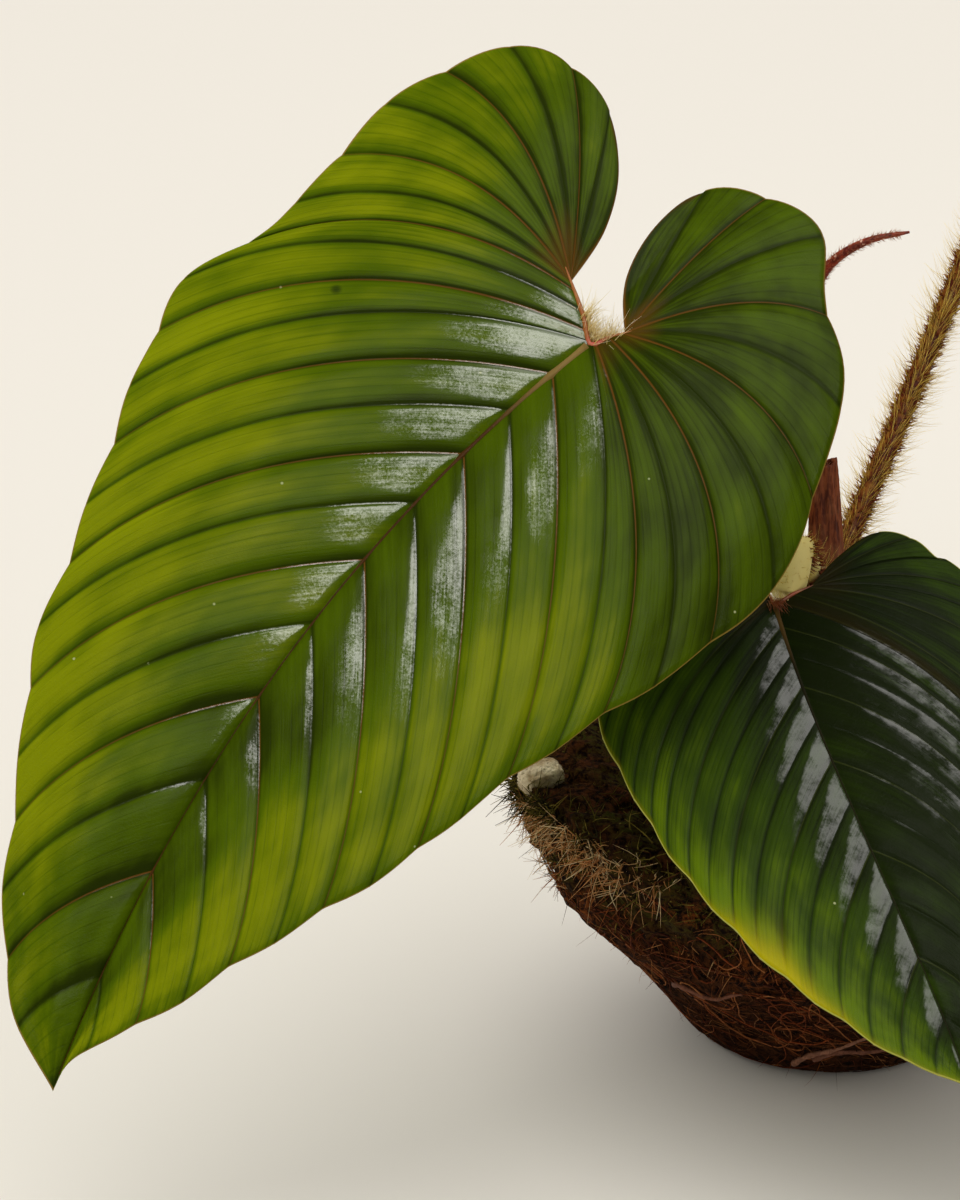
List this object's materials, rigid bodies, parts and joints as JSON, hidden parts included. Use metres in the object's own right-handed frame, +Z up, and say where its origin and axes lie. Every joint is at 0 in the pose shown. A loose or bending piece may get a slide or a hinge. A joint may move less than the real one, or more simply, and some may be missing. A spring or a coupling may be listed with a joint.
{
  "type": "philodendron serpens plant with bare root ball",
  "caption": "Aroid house plant out of its pot: pleated heart-shaped blades on bristly petioles, a short stem, a new shoot and a bowl-shaped root ball that stands by itself.",
  "frame": {"origin": "on the flat spot under the root ball that the plant stands on, below the middle of its rim", "axes": "+Z up; the plant is seen in the picture from -Y, with the large blade to -X"},
  "size_m": [0.4573, 0.4106, 0.3021],
  "materials": {
    "root_ball": "matt, fibrous soil, moss and fine roots",
    "chip": "matt pale chip",
    "stem": "matt, ringed and scarred",
    "blade": "glossy, leathery leaf",
    "dark_blade": "glossy, leathery dark leaf",
    "petiole": "matt, covered in soft bristles",
    "shoot": "matt, finely bristled",
    "sheath": "matt and papery"
  },
  "bodies": {
    "root": {"root_ball": "root_ball", "pale_chip": "chip", "stem": "stem", "blade_front": "blade", "blade_right": "dark_blade", "blade_back": "blade", "petiole_front": "petiole", "petiole_right": "petiole", "petiole_back": "petiole", "new_shoot": "shoot", "sheath": "sheath"}
  },
  "joints": []
}
